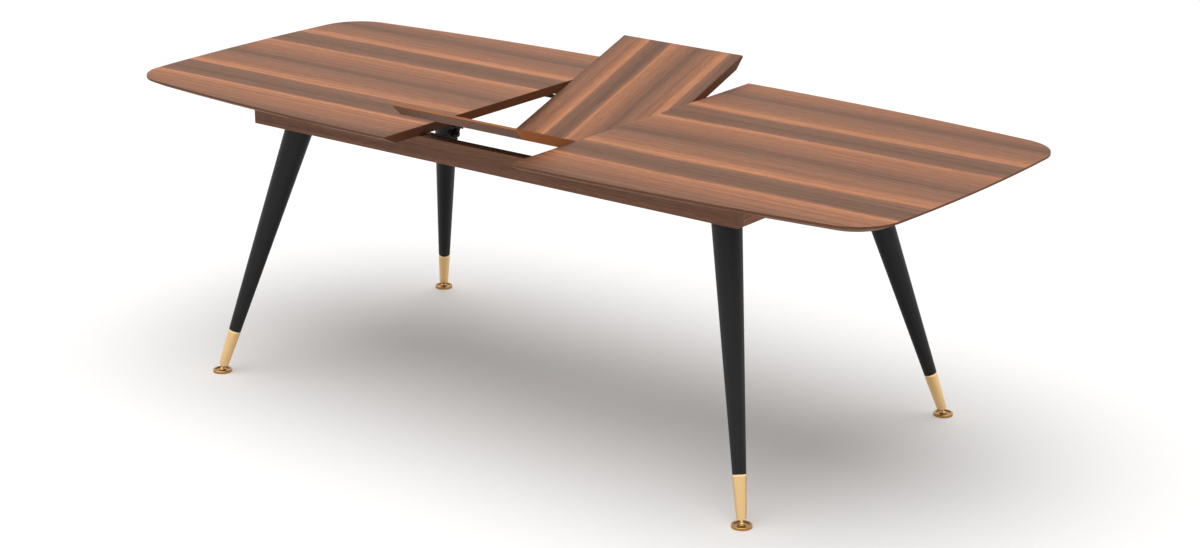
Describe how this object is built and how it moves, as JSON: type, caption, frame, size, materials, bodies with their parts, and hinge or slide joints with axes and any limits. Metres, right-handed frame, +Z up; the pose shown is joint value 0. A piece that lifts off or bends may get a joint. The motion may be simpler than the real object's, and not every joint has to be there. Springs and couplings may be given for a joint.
{
  "type": "butterfly leaf table",
  "caption": "Extending dining table: rounded half tops on slides, splayed tapered legs with swivel glides, and a folding butterfly leaf half raised between the halves.",
  "frame": {"origin": "on the floor, under the middle of the table", "axes": "+X along the table to its right end, +Y across it to its back, where the leaf's closed eyes are, +Z up"},
  "size_m": [2.3028, 0.968, 0.8284],
  "materials": {
    "top_wood": "satin walnut, grain along the table",
    "leaf_wood": "satin walnut, grain across the table",
    "apron_wood": "satin dark walnut, grain along the rail",
    "end_rail_wood": "satin dark walnut, grain along the rail",
    "inner_wood": "plain sanded hardwood",
    "leg_lacquer": "matt black lacquer on turned wood",
    "brass": "satin",
    "black_steel": "black powder coat",
    "bright_steel": "zinc plated",
    "hinge_brass": "darkened, satin",
    "rubber": "matt"
  },
  "bodies": {
    "base": {"front_apron": "apron_wood", "back_apron": "apron_wood", "left_end_rail": "end_rail_wood", "right_end_rail": "end_rail_wood", "left_cross_rail": "inner_wood", "right_cross_rail": "inner_wood", "corner_block_front_left": "inner_wood", "corner_block_front_right": "inner_wood", "corner_block_back_left": "inner_wood", "corner_block_back_right": "inner_wood", "leg_plates": "black_steel", "leg_bolts": "bright_steel", "leg_front_left": "leg_lacquer", "leg_front_right": "leg_lacquer", "leg_back_left": "leg_lacquer", "leg_back_right": "leg_lacquer", "ferrule_front_left": "brass", "ferrule_front_right": "brass", "ferrule_back_left": "brass", "ferrule_back_right": "brass", "glide_studs": "brass", "front_slide_channel": "black_steel", "back_slide_channel": "black_steel", "slide_stops": "rubber", "back_pivot_rod": "black_steel", "left_eye_arm": "black_steel", "right_eye_arm": "black_steel", "left_slot_arm": "black_steel", "right_slot_arm": "black_steel"},
    "left half": {"left_top": "top_wood", "left_slide_bar_front": "black_steel", "left_slide_bar_back": "black_steel", "left_runner_front": "inner_wood", "left_runner_back": "inner_wood"},
    "right half": {"right_top": "top_wood", "right_slide_bar_front": "black_steel", "right_slide_bar_back": "black_steel", "right_runner_front": "inner_wood", "right_runner_back": "inner_wood"},
    "back wing": {"back_wing": "leaf_wood", "back_wing_hangers": "black_steel", "back_hinge_leaves": "hinge_brass"},
    "front pins": {"hinge_pins": "bright_steel", "front_pivot_rod": "black_steel"},
    "front wing": {"front_wing": "leaf_wood", "front_wing_hangers": "black_steel", "front_hinge_leaves": "hinge_brass"},
    "glide front left": {"glide_disc_front_left": "brass"},
    "glide front right": {"glide_disc_front_right": "brass"},
    "glide back left": {"glide_disc_back_left": "brass"},
    "glide back right": {"glide_disc_back_right": "brass"}
  },
  "joints": [
    {"name": "left half slide", "type": "slide", "parent": "base", "child": "left half", "axis": [-1, 0, 0], "range_m": [-0.0012, 0.0127]},
    {"name": "right half slide", "type": "slide", "parent": "base", "child": "right half", "axis": [1, 0, 0], "range_m": [-0.0012, 0.0127]},
    {"name": "leaf lift", "type": "hinge", "parent": "base", "child": "back wing", "pos_m": [0, 0.242, 0.70842], "axis": [1, 0, 0], "range_deg": [-19.5, 0]},
    {"name": "leaf hinge", "type": "hinge", "parent": "back wing", "child": "front pins", "pos_m": [0, 0, 0.66683], "axis": [-1, 0, 0], "range_deg": [-39, 0]},
    {"name": "leaf fold", "type": "hinge", "parent": "front pins", "child": "front wing", "pos_m": [0, 0, 0.66683], "axis": [-1, 0, 0], "range_deg": [0, 140.5]},
    {"name": "glide tilt front left", "type": "hinge", "parent": "base", "child": "glide front left", "pos_m": [-0.829, -0.442, 0.0065], "axis": [0.6917, -0.7222, 0], "range_deg": [-8, 8]},
    {"name": "glide tilt front right", "type": "hinge", "parent": "base", "child": "glide front right", "pos_m": [0.829, -0.442, 0.0065], "axis": [0.6917, 0.7222, 0], "range_deg": [-8, 8]},
    {"name": "glide tilt back left", "type": "hinge", "parent": "base", "child": "glide back left", "pos_m": [-0.829, 0.442, 0.0065], "axis": [-0.6917, -0.7222, 0], "range_deg": [-8, 8]},
    {"name": "glide tilt back right", "type": "hinge", "parent": "base", "child": "glide back right", "pos_m": [0.829, 0.442, 0.0065], "axis": [-0.6917, 0.7222, 0], "range_deg": [-8, 8]}
  ],
  "couplings": [
    {"joint": "leaf hinge", "follows": "leaf lift", "ratio": 2}
  ]
}
